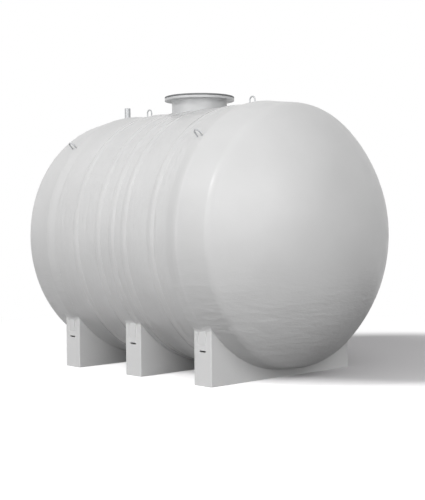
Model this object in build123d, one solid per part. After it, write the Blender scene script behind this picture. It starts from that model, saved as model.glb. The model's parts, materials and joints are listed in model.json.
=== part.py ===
from build123d import *
from math import cos, radians, sqrt, tan
import os

# Horizontal water tank of laminated glass fibre on three moulded saddles.
# Lengths are in millimetres. X runs along the tank towards its near end, +Z is up,
# and the origin lies on the ground under the middle of the tank.

# Shell: an open barrel with a dished end slipped over each mouth
shell_radius = 1200.0
shell_wall = 10.0
ground_clearance = 66.0
seam_station = 888.0
socket_depth = 40.0
lip_rise = 16.0
skirt_length = 358.0
skirt_taper = 7.5
dish_depth = 578.0
knuckle_radius = 157.0

# Glue line between laminated pieces that lie against each other on a curve
glue_line = 0.3

# Hoops laminated round the barrel, each with a flat crest and tapered sides
hoop_width = 84.0
hoop_crest_width = 44.0
hoop_rise = 7.0
hoop_edge_rise = 1.5
hoop_stations = {
    "hoop_far": -466.0,
    "hoop_inner_far": -143.0,
    "hoop_middle": 56.0,
    "hoop_inner_near": 222.0,
    "hoop_near": 585.0,
}

# Saddles: hollow box feet with a curved seat under the shell
saddle_spacing = 916.0
saddle_thickness = 213.0
saddle_width = 1823.0
saddle_wall = 12.0
saddle_edge_radius = 9.0
saddle_names = ["far", "middle", "near"]

# Tie strip bonded in a shallow channel of each saddle end, above a strap slot
channel_length = 142.0
channel_width = 125.0
channel_depth = 5.0
channel_corner = 12.0
slot_below_channel = 48.0
slot_width = 78.0
slot_height = 15.0
tie_width = 66.0
tie_thickness = 8.0
tie_foot_gap = 12.0

# Manway: a neck through the barrel with a flange, a gasket and a blind cover
manway_station = -60.0
neck_radius = 266.0
neck_wall = 10.0
neck_reach_inside = 60.0
flange_radius = 336.0
flange_thickness = 22.0
flange_rise = 122.0
flange_fillet = 12.0
gasket_thickness = 4.0
gasket_margin = 4.0
cover_thickness = 12.0
cover_edge = 2.0

# Vent nozzle: an open spigot with a slightly smaller shank through the far end's skirt
vent_setback = 92.0
vent_radius = 30.15
vent_wall = 4.5
vent_shank_step = 0.9
vent_height = 145.0
vent_shoulder_height = 12.0
vent_reach_inside = 30.0

# Lifting eyes: bent bars, two on the crown line and two on each flank
eye_bar_radius = 7.0
eye_bar_sides = 12
eye_outer_width = 78.0
eye_height = 86.0
crown_eye_stations = {"near": 648.0, "far": -803.0}
flank_eye_stations = {"near": 846.0, "far": -931.0}
flank_eye_angle = 45.0

axis_height = shell_radius + ground_clearance
crown_height = axis_height + shell_radius
barrel_end = seam_station + socket_depth
lip_radius = shell_radius + lip_rise
corner_station = seam_station + skirt_length
corner_radius = lip_radius - skirt_length * tan(radians(skirt_taper))
crown_radius = (corner_radius**2 + dish_depth**2) / (2 * dish_depth)
end_reach = corner_station + dish_depth
half_width = saddle_width / 2


def on_axis(solid):
    """Lift a solid that was turned about the X axis to the height of the tank's axis."""
    return Pos(0, 0, axis_height) * solid


def ring(inner, outer, start, end):
    """A plain ring about the tank's axis between two stations."""
    section = Pos((start + end) / 2, (inner + outer) / 2) * Rectangle(end - start, outer - inner)
    return on_axis(revolve(section, axis=Axis.X))


def upright_tube(inner, outer, foot, top):
    """An upright tube between two heights."""
    length = top - foot
    return Pos(0, 0, (foot + top) / 2) * (Cylinder(outer, length) - Cylinder(inner, length))


def skirt_radius(station, inset=0.0):
    """Radius of the near end's tapered skirt at a station, moved in by inset."""
    taper = radians(skirt_taper)
    return lip_radius - (station - seam_station) * tan(taper) - inset / cos(taper)


def skirt_corner(inset):
    """Station and radius where the skirt's line meets the crown's circle, before the knuckle."""
    slope = tan(radians(skirt_taper))
    crown = crown_radius - inset
    centre = end_reach - crown_radius
    at_centre = skirt_radius(centre, inset)
    run = (at_centre * slope + sqrt(crown**2 * (1 + slope**2) - at_centre**2)) / (1 + slope**2)
    return centre + run, at_centre - run * slope


def end_section(inset):
    """Half section of the near end: tapered skirt, knuckle and crown, all moved in by inset."""
    front = seam_station + min(inset, 0)
    tip = end_reach - inset
    corner = skirt_corner(inset)
    outline = [
        Polyline((tip, 0), (front, 0), (front, skirt_radius(front, inset)), corner),
        RadiusArc(corner, (tip, 0), crown_radius - inset),
    ]
    section = make_face(outline)
    knuckle = section.vertices().sort_by(Axis.X)[-2]
    return fillet(knuckle, knuckle_radius - inset)


def mirrored_to(name, solid):
    """The far end's pieces are the near end's, mirrored about the middle of the tank."""
    return solid if name == "near" else mirror(solid, about=Plane.YZ)


def hoop_section(margin):
    """Half section of a hoop, grown by margin, centred on station 0."""
    half = hoop_width / 2 + margin
    crest_half = hoop_crest_width / 2 + margin
    base = shell_radius + glue_line - margin
    edge = shell_radius + hoop_edge_rise + margin
    crest = shell_radius + hoop_rise + margin
    side = [(half, base), (half, edge), (crest_half, crest)]
    other_side = [(-x, y) for x, y in reversed(side)]
    return make_face(Polyline(*side, *other_side, close=True))


def shell_envelope(margin):
    """Everything inside the shell's outer face, hoops included, grown by margin."""
    envelope = ring(0, shell_radius + margin, -seam_station, seam_station)
    for name in ("near", "far"):
        envelope += mirrored_to(name, on_axis(revolve(end_section(-margin), axis=Axis.X)))
    for station in hoop_stations.values():
        envelope += on_axis(revolve(Pos(station, 0) * hoop_section(margin), axis=Axis.X))
    return envelope


# Barrel and dished ends
neck_hole = Pos(manway_station, 0, crown_height) * Cylinder(neck_radius + glue_line, shell_radius)
barrel = ring(shell_radius - shell_wall, shell_radius, -barrel_end, barrel_end) - neck_hole

hollow = end_section(shell_wall)
hollow -= Pos(end_reach, 1.5 * shell_radius + glue_line) * Rectangle(2 * end_reach, shell_radius)
socket = Pos((seam_station + barrel_end + glue_line) / 2, shell_radius / 2)
socket *= Rectangle(socket_depth + glue_line, shell_radius + 2 * glue_line)
end_shell = on_axis(revolve(end_section(0) - hollow - socket, axis=Axis.X))

# Vent nozzle, which stands on the far end's skirt
vent_station = corner_station - vent_setback
vent_base = axis_height + skirt_radius(vent_station)
vent_shoulder = vent_base + vent_shoulder_height
vent_foot = vent_base - vent_reach_inside
vent_bore = vent_radius - vent_wall
vent_shank = vent_radius - vent_shank_step
vent_nozzle = upright_tube(vent_bore, vent_radius, vent_shoulder, vent_base + vent_height)
vent_nozzle += upright_tube(vent_bore, vent_shank, vent_foot, vent_shoulder)
vent_hole = Pos(-vent_station, 0, vent_base) * Cylinder(vent_shank + glue_line, vent_height)

parts = {
    "barrel": barrel,
    "near_end": end_shell,
    "far_end": mirrored_to("far", end_shell) - vent_hole,
    "vent_nozzle": Pos(-vent_station, 0, 0) * vent_nozzle,
}

# Hoops, cut away round the manway neck
for name, station in hoop_stations.items():
    parts[name] = on_axis(revolve(Pos(station, 0) * hoop_section(0), axis=Axis.X)) - neck_hole

# Saddles with their end channels, slots and tie strips
seat = shell_envelope(glue_line)
seat_back = shell_envelope(saddle_wall)
saddle_top = axis_height - sqrt(shell_radius**2 - half_width**2)
channel_foot = saddle_top - channel_length
slot_middle = channel_foot - slot_below_channel


def saddle_at(station):
    """One hollow saddle and its two tie strips."""
    place = Pos(station, 0, axis_height / 2)
    block = place * Box(saddle_thickness, saddle_width, axis_height)
    block = fillet(block.edges().filter_by(Axis.Z), saddle_edge_radius)
    core = Pos(0, 0, saddle_wall) * place
    core *= Box(saddle_thickness - 2 * saddle_wall, saddle_width - 2 * saddle_wall, axis_height)
    saddle = block - seat - (core - seat_back)
    strips = Part()
    for side in (-1, 1):
        face = Pos(station, side * half_width, 0)
        channel_height = axis_height - channel_foot
        channel = Box(channel_width, 2 * channel_depth, channel_height)
        channel = fillet(channel.edges().filter_by(Axis.Y).group_by(Axis.Z)[0], channel_corner)
        saddle -= face * Pos(0, 0, channel_foot + channel_height / 2) * channel
        slot = Box(slot_width, 4 * saddle_wall, slot_height)
        slot = fillet(slot.edges().filter_by(Axis.Y), slot_height / 2 - glue_line)
        saddle -= face * Pos(0, 0, slot_middle) * slot
        strip_foot = channel_foot + tie_foot_gap
        strip = Box(tie_width, tie_thickness, axis_height - strip_foot)
        seat_plane = half_width - channel_depth + tie_thickness / 2
        strip = Pos(station, side * seat_plane, (axis_height + strip_foot) / 2) * strip
        strips += strip - seat
    return saddle, strips


for index, name in enumerate(saddle_names):
    saddle, strips = saddle_at((index - 1) * saddle_spacing)
    parts["saddle_" + name] = saddle
    parts["saddle_ties_" + name] = strips

# Manway
neck_bore = neck_radius - neck_wall
neck_foot = crown_height - shell_wall - neck_reach_inside
flange_top = crown_height + flange_rise
gasket_top = flange_top + gasket_thickness

flange_bore = neck_radius + glue_line
fillet_foot = (flange_bore, -flange_thickness - flange_fillet)
fillet_head = (flange_bore + flange_fillet, -flange_thickness)
flange_outline = [
    Polyline(
        fillet_head,
        (flange_radius, -flange_thickness),
        (flange_radius, 0),
        (flange_bore, 0),
        fillet_foot,
    ),
    RadiusArc(fillet_foot, fillet_head, flange_fillet),
]
flange = Pos(0, 0, flange_top) * revolve(Plane.XZ * make_face(flange_outline), axis=Axis.Z)
cover = Cylinder(flange_radius, cover_thickness)
cover = chamfer(cover.edges().group_by(Axis.Z)[-1], cover_edge)
manway = {
    "manway_neck": upright_tube(neck_bore, neck_radius, neck_foot, flange_top),
    "manway_flange": flange,
    "manway_gasket": upright_tube(neck_bore, flange_radius - gasket_margin, flange_top, gasket_top),
    "manway_cover": Pos(0, 0, gasket_top + cover_thickness / 2) * cover,
}
for name, solid in manway.items():
    parts[name] = Pos(manway_station, 0, 0) * solid


def lifting_eye(station, angle):
    """A bent bar that stands on the shell at a station, angle degrees down from the crown line."""
    bend = eye_outer_width / 2 - eye_bar_radius
    start = -lip_rise
    shoulder = eye_height - eye_outer_width / 2
    path = Polyline((-bend, 0, start), (-bend, 0, shoulder))
    path += ThreePointArc((-bend, 0, shoulder), (0, 0, shoulder + bend), (bend, 0, shoulder))
    path += Polyline((bend, 0, shoulder), (bend, 0, start))
    profile = Plane(path @ 0, z_dir=(0, 0, 1)) * RegularPolygon(eye_bar_radius, eye_bar_sides)
    return on_axis(Rot(angle, 0, 0) * Pos(station, 0, shell_radius) * sweep(profile, path)) - seat


for name, station in crown_eye_stations.items():
    parts["crown_eye_" + name] = lifting_eye(station, 0)
for name, station in flank_eye_stations.items():
    parts["left_eye_" + name] = lifting_eye(station, flank_eye_angle)
    parts["right_eye_" + name] = lifting_eye(station, -flank_eye_angle)

os.makedirs("parts", exist_ok=True)
for name, solid in parts.items():
    export_step(solid, "parts/" + name + ".step")
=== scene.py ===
import json
import math

import bpy
from mathutils import Matrix, Vector
from mathutils.noise import noise as perlin


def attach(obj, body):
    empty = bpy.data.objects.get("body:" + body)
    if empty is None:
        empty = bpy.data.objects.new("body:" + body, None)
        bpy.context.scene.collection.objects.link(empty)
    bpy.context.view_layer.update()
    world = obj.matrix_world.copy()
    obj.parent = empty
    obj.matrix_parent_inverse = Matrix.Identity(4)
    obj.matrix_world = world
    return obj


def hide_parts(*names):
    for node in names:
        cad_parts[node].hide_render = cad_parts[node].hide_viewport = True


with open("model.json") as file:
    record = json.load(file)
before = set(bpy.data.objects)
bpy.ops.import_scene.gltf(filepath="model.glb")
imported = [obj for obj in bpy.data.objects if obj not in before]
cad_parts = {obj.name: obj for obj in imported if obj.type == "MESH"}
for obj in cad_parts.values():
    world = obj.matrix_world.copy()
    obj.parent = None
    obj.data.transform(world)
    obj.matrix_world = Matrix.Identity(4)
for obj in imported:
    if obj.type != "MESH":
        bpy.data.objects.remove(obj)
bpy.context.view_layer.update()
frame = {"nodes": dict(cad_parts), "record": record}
nodes = frame["nodes"]

# Sizes are in metres and angles in radians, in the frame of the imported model.
# A station is a place along the tank, measured from its middle.
AXIS_HEIGHT = 1.266
SHELL_RADIUS = 1.2
SHELL_WALL = 0.010
SEAM_STATION = 0.888
SOCKET_DEPTH = 0.040
SOCKET_BACK_STEP = 0.001
LIP_RISE = 0.016
SKIRT_LENGTH = 0.358
SKIRT_TAPER = math.radians(7.5)
DISH_DEPTH = 0.578
KNUCKLE_RADIUS = 0.157

CORNER_RADIUS = SHELL_RADIUS + LIP_RISE - SKIRT_LENGTH * math.tan(SKIRT_TAPER)
CROWN_RADIUS = (CORNER_RADIUS**2 + DISH_DEPTH**2) / (2 * DISH_DEPTH)
END_REACH = SEAM_STATION + SKIRT_LENGTH + DISH_DEPTH

# The laminate over a seam is a soft ramp that starts and ends at these distances past the seam
LIP_RAMP_START = -0.110
LIP_RAMP_END = 0.045
LIP_EDGE_SINK = 0.001

HOOP_WIDTH = 0.084
HOOP_RISE = 0.006
HOOP_EDGE_RISE = 0.0003
HOOP_SWELL_POWER = 1.3
HOOP_STATIONS = {
    "hoop_far": -0.466,
    "hoop_inner_far": -0.143,
    "hoop_middle": 0.056,
    "hoop_inner_near": 0.222,
    "hoop_near": 0.585,
}

MANWAY_STATION = -0.060
NECK_RADIUS = 0.266
NECK_CLEARANCE = 0.001

SADDLE_SPACING = 0.916
SADDLE_STATIONS = {"far": -SADDLE_SPACING, "middle": 0.0, "near": SADDLE_SPACING}
SADDLE_THICKNESS = 0.213
SADDLE_WIDTH = 1.823
SADDLE_EDGE_RADIUS = 0.009

# The laid-up fillet round a saddle is small along its broad faces and larger at its ends. Both
# sizes are multiplied by a share that varies about its mean, with so many lumps to the metre.
BROAD_FILLET = 0.007
END_FILLET = 0.030
FILLET_MEAN = 0.85
FILLET_VARIATION = 0.3
FILLET_LUMPS = 9
FILLET_SINK = 0.002

# How far the laid-up surfaces wander inwards from the smooth shape at most
END_WAVE = 0.0035
HOOP_WAVE = 0.0010

# The wander's long and short waves: how many to the metre, and their shares of it either way
LONG_WAVES = 2.1
SHORT_WAVES = 4.3
LONG_WAVE_SHARE = 0.4
SHORT_WAVE_SHARE = 0.1
SHORT_WAVE_SHIFT = Vector((7, 3, 5))

# How finely the shapes are divided
ROUND_STEPS = 288
SKIRT_STEPS = 22
KNUCKLE_STEPS = 14
CROWN_STEPS = 60
LIP_RAMP_STEPS = 12
HOOP_STEPS = 20
SADDLE_CORNER_STEPS = 5
SADDLE_SIDE_STEP = 0.03
FILLET_STEPS = 7


# Shapes
def mesh_piece(name, points, faces, smooth_angle):
    """A new object from points and faces, smooth except at edges sharper than an angle in degrees."""
    mesh = bpy.data.meshes.new(name)
    mesh.from_pydata(points, [], faces)
    mesh.validate()
    mesh.shade_smooth()
    mesh.set_sharp_from_angle(angle=math.radians(smooth_angle))
    piece = bpy.data.objects.new(name, mesh)
    bpy.context.scene.collection.objects.link(piece)
    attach(piece, "root")
    return piece


def arc(centre, radius, start, end, steps):
    """Points of an arc in the station and radius plane, turning from the tank's axis."""
    turns = [start + (end - start) * i / steps for i in range(steps + 1)]
    return [(centre[0] + radius * math.cos(t), centre[1] + radius * math.sin(t)) for t in turns]


def straight(first, last, steps):
    """Points from first towards last, without the last one."""
    return [tuple(a + (b - a) * i / steps for a, b in zip(first, last)) for i in range(steps)]


def waviness(point, depth):
    """An inward wander between 0 and depth: long waves with shorter ones on them."""
    long_wave = LONG_WAVE_SHARE * perlin(point * LONG_WAVES)
    short_wave = SHORT_WAVE_SHARE * perlin(point * SHORT_WAVES + SHORT_WAVE_SHIFT)
    return depth * (LONG_WAVE_SHARE + SHORT_WAVE_SHARE + long_wave + short_wave)


def turned_point(station, radius, turn, depth):
    """A point on a turned body, where turn 0 is the crown line, wandering towards the tank's middle."""
    point = Vector((station, radius * math.sin(turn), radius * math.cos(turn)))
    if depth:
        point *= 1 - waviness(point, depth) / point.length
    return point + Vector((0, 0, AXIS_HEIGHT))


def skirt_radius(station, inset=0.0):
    """Radius of the near end's tapered skirt at a station, moved in by inset."""
    rise = LIP_RISE - (station - SEAM_STATION) * math.tan(SKIRT_TAPER)
    return SHELL_RADIUS + rise - inset / math.cos(SKIRT_TAPER)


def shell_radius_at(station):
    """Outer radius of barrel and skirt, with the seam's step laid over as a soft ramp."""
    past_seam = abs(station) - SEAM_STATION
    share = (past_seam - LIP_RAMP_START) / (LIP_RAMP_END - LIP_RAMP_START)
    share = min(max(share, 0), 1)
    ramp = share * share * (3 - 2 * share)
    return SHELL_RADIUS + ramp * (skirt_radius(SEAM_STATION + past_seam) - SHELL_RADIUS)


def end_profile(inset, front):
    """The near end's outline from front to its tip, moved in by inset: skirt, knuckle and crown."""
    crown = CROWN_RADIUS - inset
    knuckle = KNUCKLE_RADIUS - inset
    centre = END_REACH - CROWN_RADIUS
    slope = math.tan(SKIRT_TAPER)
    # the knuckle touches the skirt's line and the crown's circle from inside, which sets its middle
    level = skirt_radius(centre, inset + knuckle)
    reach = (crown - knuckle) ** 2 * (1 + slope**2) - level**2
    run = (level * slope + math.sqrt(reach)) / (1 + slope**2)
    middle = (centre + run, level - run * slope)
    crown_turn = math.atan2(middle[1], run)
    skirt_turn = math.pi / 2 - SKIRT_TAPER
    bend = arc(middle, knuckle, skirt_turn, crown_turn, KNUCKLE_STEPS)
    dish = arc((centre, 0), crown, crown_turn, 0, CROWN_STEPS)
    return straight((front, skirt_radius(front, inset)), bend[0], SKIRT_STEPS) + bend + dish[1:]


def closed_turned(name, outline, depths, mirrored):
    """A closed body from an outline whose two ends lie on the tank's axis."""
    side = -1 if mirrored else 1
    points = [turned_point(side * outline[0][0], 0, 0, 0)]
    for (station, radius), depth in zip(outline[1:-1], depths[1:-1]):
        for i in range(ROUND_STEPS):
            turn = 2 * math.pi * i / ROUND_STEPS
            points.append(turned_point(side * station, radius, turn, depth))
    points.append(turned_point(side * outline[-1][0], 0, 0, 0))
    rings = len(outline) - 2
    faces = []
    for i in range(ROUND_STEPS):
        after = (i + 1) % ROUND_STEPS
        faces.append((0, 1 + i, 1 + after))
        for ring in range(rings - 1):
            low = 1 + ring * ROUND_STEPS
            high = low + ROUND_STEPS
            faces.append((low + i, high + i, high + after, low + after))
        last = 1 + (rings - 1) * ROUND_STEPS
        faces.append((last + i, len(points) - 1, last + after))
    if mirrored:
        faces = [tuple(reversed(face)) for face in faces]
    return mesh_piece(name, points, faces, smooth_angle=35)


def dished_end(name, node, mirrored):
    """A dished end with a laid-over seam, a hollow inside and a gently wandering outer face."""
    back = SEAM_STATION + SOCKET_DEPTH
    front = SEAM_STATION + LIP_RAMP_START
    inside = end_profile(SHELL_WALL, back + SOCKET_BACK_STEP)
    socket = [(back, inside[0][1]), (back, SHELL_RADIUS), (front, SHELL_RADIUS - LIP_EDGE_SINK)]
    ramp = []
    for i in range(LIP_RAMP_STEPS):
        station = front + (LIP_RAMP_END - LIP_RAMP_START) * i / LIP_RAMP_STEPS
        ramp.append((station, shell_radius_at(station)))
    outside = end_profile(0, SEAM_STATION + LIP_RAMP_END)
    outline = list(reversed(inside)) + socket + ramp + outside
    depths = [0] * (len(outline) - len(outside)) + [END_WAVE] * len(outside)
    piece = closed_turned(name, outline, depths, mirrored)
    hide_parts(node)


def skin(points, width, closed, inside_out=False):
    """Faces over sections of width points each, which join up in a loop or end in two caps."""
    sections = len(points) // width
    faces = []
    for i in range(sections if closed else sections - 1):
        here = i * width
        there = (i + 1) % sections * width
        for j in range(width):
            k = (j + 1) % width
            if inside_out:
                faces.append((here + j, there + j, there + k, here + k))
            else:
                faces.append((here + j, here + k, there + k, there + j))
    if not closed:
        faces.append(tuple(reversed(range(width))))
        faces.append(tuple(range((sections - 1) * width, sections * width)))
    return faces


def hoop_section():
    """A hoop's section as a closed loop of run and rise: a flat back and a softly swelling top."""
    half = HOOP_WIDTH / 2
    top = []
    for i in range(HOOP_STEPS + 1):
        across = -1 + 2 * i / HOOP_STEPS
        swell = (1 - across**2) ** HOOP_SWELL_POWER
        top.append((across * half, HOOP_EDGE_RISE + (HOOP_RISE - HOOP_EDGE_RISE) * swell))
    return [(-half, 0.0)] + top + [(half, 0.0)]


def hoop(name, node, station):
    """A laminated hoop that stops at the manway neck where it meets it."""
    section = hoop_section()
    reach = (NECK_RADIUS + NECK_CLEARANCE) ** 2 - (station - MANWAY_STATION) ** 2
    meets_neck = reach > 0
    gap = math.asin(math.sqrt(reach) / SHELL_RADIUS) if meets_neck else 0
    points = []
    for i in range(ROUND_STEPS + 1 if meets_neck else ROUND_STEPS):
        turn = gap + (2 * math.pi - 2 * gap) * i / ROUND_STEPS
        for along, rise in section:
            depth = HOOP_WAVE if rise > HOOP_RISE / 2 else 0
            points.append(turned_point(station + along, SHELL_RADIUS + rise, turn, depth))
    faces = skin(points, len(section), closed=not meets_neck)
    piece = mesh_piece(name, points, faces, smooth_angle=60)
    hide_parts(node)


def saddle_outline(station):
    """Points round a saddle's outline seen from above, each with its outward direction."""
    half_length = SADDLE_THICKNESS / 2 - SADDLE_EDGE_RADIUS
    half_width = SADDLE_WIDTH / 2 - SADDLE_EDGE_RADIUS
    corners = [(half_length, half_width), (-half_length, half_width)]
    corners += [(-half_length, -half_width), (half_length, -half_width)]
    rim = []
    for quarter, (x, y) in enumerate(corners):
        for i in range(SADDLE_CORNER_STEPS + 1):
            turn = math.pi / 2 * (quarter + i / SADDLE_CORNER_STEPS)
            away = Vector((math.cos(turn), math.sin(turn)))
            rim.append((Vector((station + x, y)) + away * SADDLE_EDGE_RADIUS, away))
    points = []
    for (first, away), (last, next_away) in zip(rim, rim[1:] + rim[:1]):
        steps = max(1, round((last - first).length / SADDLE_SIDE_STEP))
        for i in range(steps):
            points.append((first.lerp(last, i / steps), away.lerp(next_away, i / steps).normalized()))
    return points


def under_shell(plan):
    """The point of the shell's lower face above a point in plan."""
    drop = math.sqrt(shell_radius_at(plan.x) ** 2 - plan.y**2)
    return Vector((plan.x, plan.y, AXIS_HEIGHT - drop))


def fillet_section(plan, away):
    """The fillet's section at a point of the saddle's outline: a hollow curve and a hidden back."""
    lump = perlin(Vector((plan.x * FILLET_LUMPS, plan.y * FILLET_LUMPS, 0)))
    reach = BROAD_FILLET + (END_FILLET - BROAD_FILLET) * abs(away.y)
    size = reach * (FILLET_MEAN + FILLET_VARIATION * lump)
    outward = Vector((away.x, away.y, 0))
    root = under_shell(plan)
    low = root - Vector((0, 0, size)) - outward * FILLET_SINK
    high = under_shell(plan + away * size) + Vector((0, 0, FILLET_SINK))
    section = []
    for i in range(FILLET_STEPS + 1):
        t = i / FILLET_STEPS
        section.append(low * (1 - t) ** 2 + root * 2 * t * (1 - t) + high * t**2)
    return section + [root - outward * 2 * FILLET_SINK + Vector((0, 0, 2 * FILLET_SINK))]


def laminate_fillet(name, station):
    """The laid-up fillet that runs round a saddle where it meets the shell."""
    sections = [fillet_section(plan, away) for plan, away in saddle_outline(station)]
    points = [point for section in sections for point in section]
    faces = skin(points, len(sections[0]), closed=True, inside_out=True)
    piece = mesh_piece(name, points, faces, smooth_angle=60)


dished_end("near_end_shell", "near_end", mirrored=False)
dished_end("far_end_shell", "far_end", mirrored=True)
for node, station in HOOP_STATIONS.items():
    hoop(node + "_layup", node, station)
for name, station in SADDLE_STATIONS.items():
    laminate_fillet("saddle_fillet_" + name, station)


# Materials
WHITE = (1, 1, 1, 1)

# Most of a noise texture's values lie between these two
NOISE_LOW = 0.3
NOISE_HIGH = 0.7

# A colour mix node's two colours and their mix, by number because their names occur more than once
MIX_FIRST = 6
MIX_SECOND = 7
MIX_RESULT = 2


def new_material(name):
    """An empty node material, its tree and its shader."""
    material = bpy.data.materials.new(name)
    material.use_nodes = True
    tree = material.node_tree
    return material, tree, tree.nodes["Principled BSDF"]


def add(tree, kind, inputs=None, **settings):
    """A node with its settings and input values, where a value may be another node's output."""
    node = tree.nodes.new(kind)
    for key, value in settings.items():
        setattr(node, key, value)
    for key, value in (inputs or {}).items():
        if isinstance(value, bpy.types.NodeSocket):
            tree.links.new(value, node.inputs[key])
        else:
            node.inputs[key].default_value = value
    return node


def object_space(tree, scale=(1, 1, 1)):
    """Object coordinates, stretched by scale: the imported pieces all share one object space."""
    coordinates = add(tree, "ShaderNodeTexCoord")
    mapping = add(tree, "ShaderNodeMapping", {"Vector": coordinates.outputs["Object"], "Scale": scale})
    return mapping.outputs["Vector"]


def noise(tree, scale, detail=2.0, roughness=0.5, stretch=(1, 1, 1)):
    """A noise value between 0 and 1 with its features 1 / scale metres across."""
    place = object_space(tree, stretch)
    inputs = {"Vector": place, "Scale": scale, "Detail": detail, "Roughness": roughness}
    return add(tree, "ShaderNodeTexNoise", inputs).outputs["Fac"]


def spread(tree, value, low, high):
    """A noise value mapped to run from low to high."""
    ends = {"Value": value, "From Min": NOISE_LOW, "From Max": NOISE_HIGH, "To Min": low, "To Max": high}
    return add(tree, "ShaderNodeMapRange", ends).outputs["Result"]


def smooth_rise(tree, value, start, end, top=1):
    """A level that turns softly from nothing at start to top at end."""
    ends = {"Value": value, "From Min": start, "From Max": end, "To Min": 0, "To Max": top}
    return add(tree, "ShaderNodeMapRange", ends, interpolation_type="SMOOTHSTEP").outputs["Result"]


def blend_colours(tree, factor, first, second):
    """One colour turning into another by factor."""
    inputs = {"Factor": factor, MIX_FIRST: (*first, 1), MIX_SECOND: (*second, 1)}
    return add(tree, "ShaderNodeMix", inputs, data_type="RGBA").outputs[MIX_RESULT]


def vector_math(tree, operation, first, second=(0, 0, 0)):
    """The outputs of a vector operation."""
    return add(tree, "ShaderNodeVectorMath", {0: first, 1: second}, operation=operation).outputs


def emission(tree, strength):
    """White light of a given strength."""
    return add(tree, "ShaderNodeEmission", {"Color": WHITE, "Strength": strength}).outputs["Emission"]


def diffuse(tree, colour):
    """A matt colour."""
    return add(tree, "ShaderNodeBsdfDiffuse", {"Color": colour}).outputs["BSDF"]


def mix_shaders(tree, share, first, second):
    """The first shader where share is 0, and the second where it is 1."""
    return add(tree, "ShaderNodeMixShader", {0: share, 1: first, 2: second}).outputs["Shader"]


def bump_stack(tree, layers):
    """A normal built from several height textures, each with its own depth in metres."""
    normal = None
    for height, depth in layers:
        node = add(tree, "ShaderNodeBump", {"Height": height, "Distance": depth, "Strength": 1.0})
        if normal is not None:
            tree.links.new(normal, node.inputs["Normal"])
        normal = node.outputs["Normal"]
    return normal


def up_axis(tree):
    """Height above the floor in metres."""
    return add(tree, "ShaderNodeSeparateXYZ", {"Vector": object_space(tree)}).outputs["Z"]


def background_rays(tree):
    """1 for rays that come from the camera, a mirror or glass, and 0 for scattered light."""
    path = add(tree, "ShaderNodeLightPath").outputs
    both = {0: path["Is Camera Ray"], 1: path["Is Glossy Ray"]}
    direct = add(tree, "ShaderNodeMath", both, operation="MAXIMUM")
    through = {0: direct.outputs["Value"], 1: path["Is Transmission Ray"]}
    return add(tree, "ShaderNodeMath", through, operation="MAXIMUM").outputs["Value"]


def link_surface(tree, shader, colour, roughness, normal):
    """Link what varies over a surface to its shader."""
    for key, value in (("Base Color", colour), ("Roughness", roughness), ("Normal", normal)):
        tree.links.new(value, shader.inputs[key])


def gelcoat(name, look):
    """Semi-gloss gelcoat over laminate: slow waves, brush strokes drawn one way and fine grain."""
    material, tree, shader = new_material(name)
    shader.inputs["Specular IOR Level"].default_value = look["reflection"]
    tone = spread(tree, noise(tree, scale=1.6, detail=4), low=0, high=1)
    colour = blend_colours(tree, tone, look["colour"], look["shade"])
    smooth = look["roughness"] - 0.05
    rough = look["roughness"] + 0.06
    roughness = spread(tree, noise(tree, scale=9, detail=3), low=smooth, high=rough)
    strokes = noise(tree, scale=6, detail=4, roughness=0.6, stretch=look["strokes"])
    low_down = smooth_rise(tree, up_axis(tree), look["strokes_fade"], look["strokes_full"])
    faded = add(tree, "ShaderNodeMath", {0: strokes, 1: low_down}, operation="MULTIPLY")
    layers = [
        (noise(tree, scale=2.2), look["wave_depth"]),
        (faded.outputs["Value"], look["stroke_depth"]),
        (noise(tree, scale=120, detail=3), look["grain_depth"]),
    ]
    link_surface(tree, shader, colour, roughness, bump_stack(tree, layers))
    return material


def rubber(name):
    """Dull black sheet rubber."""
    material, tree, shader = new_material(name)
    grain_depth = 0.0004
    tone = noise(tree, scale=60, detail=4)
    colour = blend_colours(tree, tone, (0.03, 0.03, 0.03), (0.06, 0.06, 0.06))
    roughness = spread(tree, noise(tree, scale=200), low=0.6, high=0.8)
    grain = bump_stack(tree, [(noise(tree, scale=400), grain_depth)])
    link_surface(tree, shader, colour, roughness, grain)
    return material


def painted_cover(name):
    """Dark grey moulded laminate."""
    material, tree, shader = new_material(name)
    grain_depth = 0.0006
    tone = spread(tree, noise(tree, scale=8, detail=4), low=0, high=1)
    colour = blend_colours(tree, tone, (0.13, 0.135, 0.14), (0.18, 0.185, 0.19))
    roughness = spread(tree, noise(tree, scale=25, detail=3), low=0.4, high=0.55)
    grain = bump_stack(tree, [(noise(tree, scale=180), grain_depth)])
    link_surface(tree, shader, colour, roughness, grain)
    return material


def galvanised(name):
    """Dull zinc with its crystal pattern."""
    material, tree, shader = new_material(name)
    shader.inputs["Metallic"].default_value = 0.45
    grain_depth = 0.0003
    crystals = add(tree, "ShaderNodeTexVoronoi", {"Vector": object_space(tree), "Scale": 220.0})
    tone = crystals.outputs["Distance"]
    colour = blend_colours(tree, tone, (0.40, 0.41, 0.42), (0.56, 0.57, 0.58))
    roughness = spread(tree, noise(tree, scale=90, detail=3), low=0.38, high=0.55)
    grain = bump_stack(tree, [(noise(tree, scale=260), grain_depth)])
    link_surface(tree, shader, colour, roughness, grain)
    return material


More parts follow.
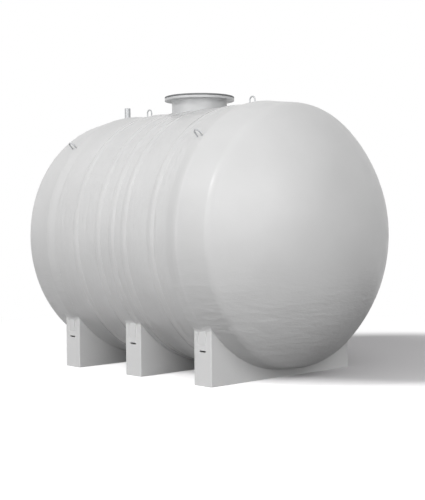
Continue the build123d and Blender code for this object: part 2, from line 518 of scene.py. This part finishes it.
# Looks of the gelcoat. The brush strokes are squeezed by strokes along x, y and z, and they come
# in from the height strokes_fade down to strokes_full. Depths are in metres.
SHELL_LOOK = {
    "colour": (0.70, 0.70, 0.70),
    "shade": (0.66, 0.66, 0.66),
    "roughness": 0.34,
    "reflection": 0.4,
    "strokes": (5.0, 0.6, 0.6),
    "strokes_fade": 4.0,
    "strokes_full": 2.0,
    "wave_depth": 0.010,
    "stroke_depth": 0.008,
    "grain_depth": 0.0006,
}
HOOP_LOOK = {
    **SHELL_LOOK,
    "roughness": 0.20,
    "strokes": (9.0, 1.4, 1.4),
    "stroke_depth": 0.0034,
}
END_LOOK = {
    **SHELL_LOOK,
    "reflection": 0.33,
    "strokes": (0.9, 0.9, 3.0),
    "strokes_fade": 1.3,
    "strokes_full": 0.3,
    "stroke_depth": 0.011,
}
# Manway neck and flange: a darker bluish grey, partly the flange's own colour and partly painted shade
# for the flange's shadow on the neck.
MANWAY_GREY_AND_SHADE_LOOK = {
    **SHELL_LOOK,
    "colour": (0.60, 0.605, 0.61),
    "shade": (0.55, 0.555, 0.56),
    "wave_depth": 0.002,
    "stroke_depth": 0.001,
}
# Saddle gelcoat: its own off-white, made lighter than the shell's as painted light that brightens the
# saddles' end faces in the tank's shadow.
SADDLE_LIGHTENED_LOOK = {
    **SHELL_LOOK,
    "colour": (0.79, 0.79, 0.79),
    "shade": (0.75, 0.75, 0.75),
    "roughness": 0.45,
    "strokes": (1, 1, 0.4),
    "wave_depth": 0.004,
    "stroke_depth": 0.003,
    "grain_depth": 0.0012,
}

materials = {
    "gelcoat": gelcoat("gelcoat", SHELL_LOOK),
    "saddle_gelcoat": gelcoat("saddle_gelcoat", SADDLE_LIGHTENED_LOOK),
    "gasket_rubber": rubber("gasket_rubber"),
    "cover_paint": painted_cover("cover_paint"),
    "galvanised": galvanised("galvanised"),
}
hoop_gelcoat = gelcoat("hoop_gelcoat", HOOP_LOOK)
end_gelcoat = gelcoat("end_gelcoat", END_LOOK)
manway_grey_and_shade_gelcoat = gelcoat("manway_grey_and_shade_gelcoat", MANWAY_GREY_AND_SHADE_LOOK)


def dress(piece, material):
    """Give a piece one material and nothing else."""
    piece.data.materials.clear()
    piece.data.materials.append(material)


for part in frame["record"]["subparts"]:
    dress(nodes[part["node"]], materials[part["material_slot"]])
# The neck and flange take the darker grey with its painted shade.
for name in ("manway_neck", "manway_flange"):
    dress(nodes[name], manway_grey_and_shade_gelcoat)
for name in HOOP_STATIONS:
    dress(bpy.data.objects[name + "_layup"], hoop_gelcoat)
for name in ("near_end_shell", "far_end_shell"):
    dress(bpy.data.objects[name], end_gelcoat)
for name in SADDLE_STATIONS:
    dress(bpy.data.objects["saddle_fillet_" + name], materials["saddle_gelcoat"])

# Camera at the photo's place: a little above the tank's axis, off its near left corner
CAMERA_AZIMUTH = 0.7693
CAMERA_PITCH = 0.0220
CAMERA_ROLL = -0.0079
CAMERA_DISTANCE = 8.2997 * SHELL_RADIUS
CAMERA_SIDE = 0.0610 * SHELL_RADIUS
CAMERA_RISE = 0.0647 * SHELL_RADIUS
FOCAL_PIXELS = 1029.2
PHOTO_HEIGHT = 500

ahead = Vector((-math.cos(CAMERA_AZIMUTH), math.sin(CAMERA_AZIMUTH), 0))
right = Vector((math.sin(CAMERA_AZIMUTH), math.cos(CAMERA_AZIMUTH), 0))
up = Vector((0, 0, 1))
centre = Vector((0, 0, AXIS_HEIGHT))
eye = centre - ahead * CAMERA_DISTANCE + right * CAMERA_SIDE + up * CAMERA_RISE
facing = ahead * math.cos(CAMERA_PITCH) - up * math.sin(CAMERA_PITCH)
facing_up = right.cross(facing)
rolled_right = right * math.cos(CAMERA_ROLL) + facing_up * math.sin(CAMERA_ROLL)
rolled_up = facing_up * math.cos(CAMERA_ROLL) - right * math.sin(CAMERA_ROLL)
camera_data = bpy.data.cameras.new("camera")
camera_data.lens = camera_data.sensor_width * FOCAL_PIXELS / PHOTO_HEIGHT
camera = bpy.data.objects.new("camera", camera_data)
camera_turn = Matrix((rolled_right, rolled_up, -facing)).transposed().to_4x4()
camera.matrix_world = Matrix.Translation(eye) @ camera_turn
bpy.context.scene.collection.objects.link(camera)
bpy.context.scene.camera = camera

# Floor: pale round the tank, where it keeps the lamps' shadow, and white like the backdrop farther off.
# It glows a little outside an oval of painted shadow, and bounced light meets a darker floor.
FLOOR_HALF = 40.0
PALE_FLOOR = (0.85, 0.84, 0.85, 1)
DULL_FLOOR = (0.12, 0.12, 0.12, 1)
BACKDROP_START = 3.0
BACKDROP_END = 6.0

# The painted shadow's oval, across and along the camera's view, where the floor's glow is held back.
# The glow rises between two sizes of it.
PAINTED_SHADOW_CENTRE = right * 2.4 + ahead * 0.75
PAINTED_SHADOW_HALF_WIDTH = 2.5
PAINTED_SHADOW_HALF_LENGTH = 1.8
GLOW_START = 0.95
GLOW_FULL = 1.4
FLOOR_GLOW = 0.62


def glow_level(tree, place):
    """How strongly the floor glows at a place: nothing inside the painted shadow oval."""
    from_painted_shadow = vector_math(tree, "SUBTRACT", place, PAINTED_SHADOW_CENTRE)["Vector"]
    across = vector_math(tree, "DOT_PRODUCT", from_painted_shadow, right / PAINTED_SHADOW_HALF_WIDTH)["Value"]
    along = vector_math(tree, "DOT_PRODUCT", from_painted_shadow, ahead / PAINTED_SHADOW_HALF_LENGTH)["Value"]
    oval = add(tree, "ShaderNodeCombineXYZ", {"X": across, "Y": along}).outputs["Vector"]
    size = vector_math(tree, "LENGTH", oval)["Value"]
    return smooth_rise(tree, size, GLOW_START, GLOW_FULL, FLOOR_GLOW)


def floor_surface(name):
    """The floor's material."""
    material, tree, shader = new_material(name)
    tree.nodes.remove(shader)
    place = add(tree, "ShaderNodeTexCoord").outputs["Object"]
    # The glow is held back inside the painted shadow oval, so the floor reads darker where the lamps'
    # shadow falls.
    glow = emission(tree, glow_level(tree, place))
    near = add(tree, "ShaderNodeAddShader", {0: diffuse(tree, PALE_FLOOR), 1: glow}).outputs["Shader"]
    from_tank = vector_math(tree, "LENGTH", place)["Value"]
    far_share = smooth_rise(tree, from_tank, BACKDROP_START, BACKDROP_END)
    shown = mix_shaders(tree, far_share, near, emission(tree, 1.0))
    mixed = mix_shaders(tree, background_rays(tree), diffuse(tree, DULL_FLOOR), shown)
    tree.links.new(mixed, tree.nodes["Material Output"].inputs["Surface"])
    return material


floor_mesh = bpy.data.meshes.new("floor")
floor_corners = [(x * FLOOR_HALF, y * FLOOR_HALF, 0) for x, y in ((-1, -1), (1, -1), (1, 1), (-1, 1))]
floor_mesh.from_pydata(floor_corners, [], [(0, 1, 2, 3)])
floor_mesh.materials.append(floor_surface("floor"))
floor = bpy.data.objects.new("floor", floor_mesh)
bpy.context.scene.collection.objects.link(floor)

# World: a studio whose light comes from above, white to the camera
LIGHT_FROM_ABOVE = 0.5
world = bpy.data.worlds.new("studio")
bpy.context.scene.world = world
world.use_nodes = True
tree = world.node_tree
tree.nodes.clear()
direction = add(tree, "ShaderNodeTexCoord").outputs["Generated"]
upward = add(tree, "ShaderNodeSeparateXYZ", {"Vector": direction}).outputs["Z"]
ends = {"Value": upward, "From Min": 0, "From Max": 1, "To Min": 0, "To Max": LIGHT_FROM_ABOVE}
level = add(tree, "ShaderNodeMapRange", ends).outputs["Result"]
ambient = add(tree, "ShaderNodeBackground", {"Color": WHITE, "Strength": level}).outputs["Background"]
backdrop = add(tree, "ShaderNodeBackground", {"Color": WHITE, "Strength": 1.0}).outputs["Background"]
seen = mix_shaders(tree, background_rays(tree), ambient, backdrop)
add(tree, "ShaderNodeOutputWorld", {"Surface": seen})

# Lights
LAMP_DISTANCE = 12.0


def area_light(name, azimuth, elevation, size, power):
    """A square soft box that faces the tank, azimuth degrees left of the camera."""
    turn = math.radians(azimuth)
    rise = math.radians(elevation)
    level_way = -ahead * math.cos(turn) - right * math.sin(turn)
    way = level_way * math.cos(rise) + up * math.sin(rise)
    data = bpy.data.lights.new(name, "AREA")
    data.size = size
    data.energy = power
    lamp = bpy.data.objects.new(name, data)
    lamp.location = centre + way * LAMP_DISTANCE
    lamp.rotation_euler = (-way).to_track_quat("-Z", "Y").to_euler()
    bpy.context.scene.collection.objects.link(lamp)


area_light("key", azimuth=58, elevation=38, size=1.0, power=330)
area_light("left_fill", azimuth=50, elevation=5, size=8.0, power=460)
area_light("front_fill", azimuth=-15, elevation=16, size=12.0, power=1020)

bpy.context.scene.view_settings.view_transform = "Standard"
